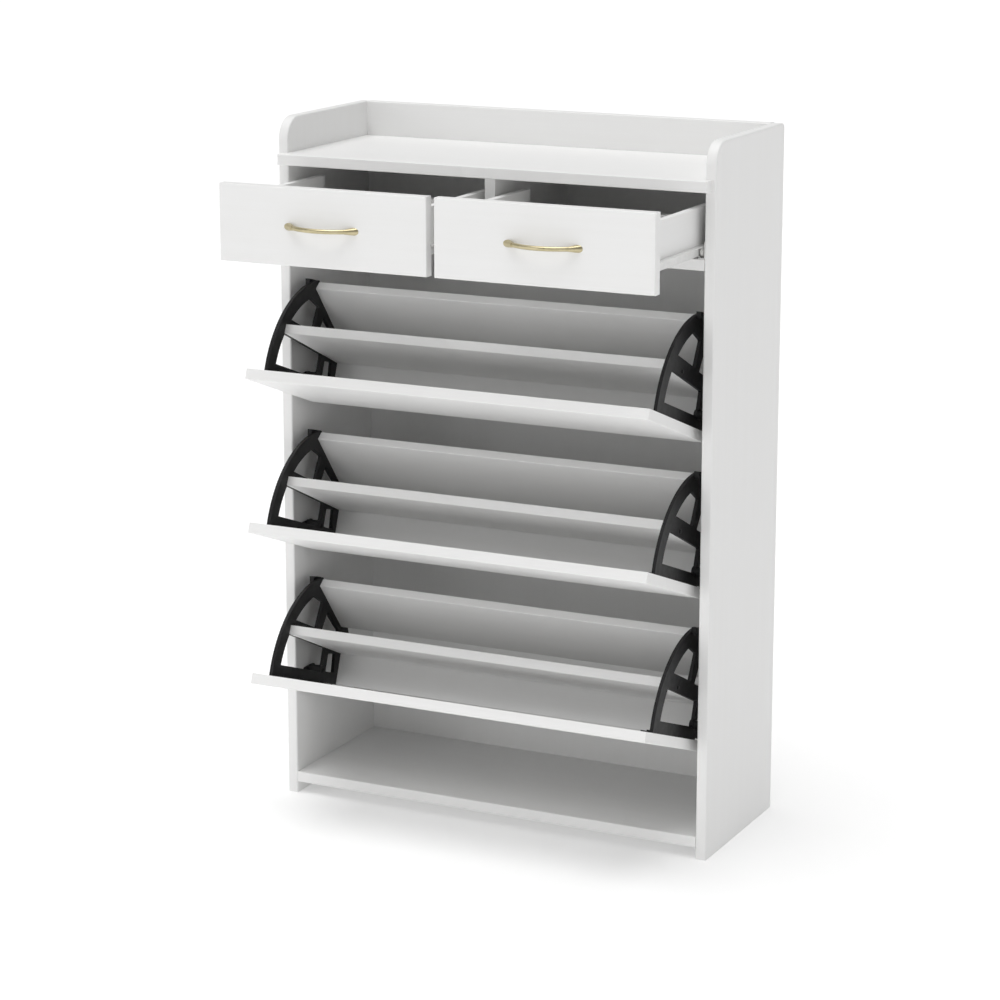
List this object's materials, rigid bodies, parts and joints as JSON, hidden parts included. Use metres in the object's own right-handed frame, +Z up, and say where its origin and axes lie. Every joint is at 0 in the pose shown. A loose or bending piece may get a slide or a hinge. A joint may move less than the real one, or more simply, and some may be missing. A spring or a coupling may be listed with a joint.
{
  "type": "shoe cabinet",
  "caption": "Tall slim shoe cabinet: pull-out drawers over tilt-out shoe bins on fan-shaped brackets, an open base compartment and a railed top tray.",
  "frame": {"origin": "on the floor, at the centre of the whole box with drawers and bins open as stored", "axes": "+X to the cabinet's right as seen from the front, +Y to the back, +Z up"},
  "size_m": [0.8, 0.542, 1.2],
  "materials": {
    "white_board": "white melamine-faced particleboard, satin",
    "back_board": "thin white-faced hardboard",
    "black_plastic": "moulded, fine texture",
    "brass": "satin champagne brass",
    "runner_steel": "white epoxy-coated steel",
    "nylon": "white nylon",
    "zinc": "zinc plated",
    "black_steel": "black-plated steel",
    "dowel_wood": "beech"
  },
  "bodies": {
    "cabinet": {"side_panel_left": "white_board", "side_panel_right": "white_board", "top_board": "white_board", "gallery_rail": "white_board", "drawer_shelf": "white_board", "bottom_board": "white_board", "drawer_divider": "white_board", "back_panel": "back_board", "cam_bolts": "zinc", "cam_locks": "zinc", "dowels": "dowel_wood", "back_nails": "zinc", "wall_screws": "zinc", "cabinet_runners_left": "runner_steel", "cabinet_runners_right": "runner_steel", "pivot_plates_top": "black_plastic", "pivot_plates_middle": "black_plastic", "pivot_plates_bottom": "black_plastic"},
    "drawer_left": {"drawer_left_front": "white_board", "drawer_left_side_inner": "white_board", "drawer_left_side_outer": "white_board", "drawer_left_back": "white_board", "drawer_left_bottom": "back_board", "drawer_left_handle": "brass", "drawer_left_screws": "zinc", "drawer_left_runners": "runner_steel"},
    "front_rollers_left": {"front_rollers_left": "nylon"},
    "rear_rollers_left": {"drawer_left_rear_rollers": "nylon"},
    "drawer_right": {"drawer_right_front": "white_board", "drawer_right_side_inner": "white_board", "drawer_right_side_outer": "white_board", "drawer_right_back": "white_board", "drawer_right_bottom": "back_board", "drawer_right_handle": "brass", "drawer_right_screws": "zinc", "drawer_right_runners": "runner_steel"},
    "front_rollers_right": {"front_rollers_right": "nylon"},
    "rear_rollers_right": {"drawer_right_rear_rollers": "nylon"},
    "bin_top": {"bin_top_door": "white_board", "bin_top_mid_board": "white_board", "bin_top_rear_board": "white_board", "bin_top_floor_board": "white_board", "bin_top_bracket_left": "black_plastic", "bin_top_bracket_right": "black_plastic", "bin_top_screws": "black_steel"},
    "bin_middle": {"bin_middle_door": "white_board", "bin_middle_mid_board": "white_board", "bin_middle_rear_board": "white_board", "bin_middle_floor_board": "white_board", "bin_middle_bracket_left": "black_plastic", "bin_middle_bracket_right": "black_plastic", "bin_middle_screws": "black_steel"},
    "bin_bottom": {"bin_bottom_door": "white_board", "bin_bottom_mid_board": "white_board", "bin_bottom_rear_board": "white_board", "bin_bottom_floor_board": "white_board", "bin_bottom_bracket_left": "black_plastic", "bin_bottom_bracket_right": "black_plastic", "bin_bottom_screws": "black_steel"}
  },
  "joints": [
    {"name": "drawer_left_slide", "type": "slide", "parent": "cabinet", "child": "drawer_left", "axis": [0, -1, 0], "range_m": [-0.197, 0]},
    {"name": "front_rollers_left_spin", "type": "hinge", "parent": "cabinet", "child": "front_rollers_left", "pos_m": [-0.19525, -0.017, 1.0229], "axis": [1, 0, 0], "range_deg": [-1412, 1]},
    {"name": "rear_rollers_left_spin", "type": "hinge", "parent": "drawer_left", "child": "rear_rollers_left", "pos_m": [-0.19525, 0.015, 1.02105], "axis": [1, 0, 0], "range_deg": [-1507, 1]},
    {"name": "drawer_right_slide", "type": "slide", "parent": "cabinet", "child": "drawer_right", "axis": [0, -1, 0], "range_m": [-0.197, 0]},
    {"name": "front_rollers_right_spin", "type": "hinge", "parent": "cabinet", "child": "front_rollers_right", "pos_m": [0.19525, -0.017, 1.0229], "axis": [1, 0, 0], "range_deg": [-1412, 1]},
    {"name": "rear_rollers_right_spin", "type": "hinge", "parent": "drawer_right", "child": "rear_rollers_right", "pos_m": [0.19525, 0.015, 1.02105], "axis": [1, 0, 0], "range_deg": [-1507, 1]},
    {"name": "bin_top_tilt", "type": "hinge", "parent": "cabinet", "child": "bin_top", "pos_m": [0, 0.014, 0.748], "axis": [1, 0, 0], "range_deg": [-70, 0]},
    {"name": "bin_middle_tilt", "type": "hinge", "parent": "cabinet", "child": "bin_middle", "pos_m": [0, 0.014, 0.4835], "axis": [1, 0, 0], "range_deg": [-70, 0]},
    {"name": "bin_bottom_tilt", "type": "hinge", "parent": "cabinet", "child": "bin_bottom", "pos_m": [0, 0.014, 0.219], "axis": [1, 0, 0], "range_deg": [-70, 0]}
  ],
  "couplings": [
    {"joint": "front_rollers_left_spin", "follows": "drawer_left_slide", "rad_per_m": 125},
    {"joint": "rear_rollers_left_spin", "follows": "drawer_left_slide", "rad_per_m": 133.33},
    {"joint": "front_rollers_right_spin", "follows": "drawer_right_slide", "rad_per_m": 125},
    {"joint": "rear_rollers_right_spin", "follows": "drawer_right_slide", "rad_per_m": 133.33}
  ]
}
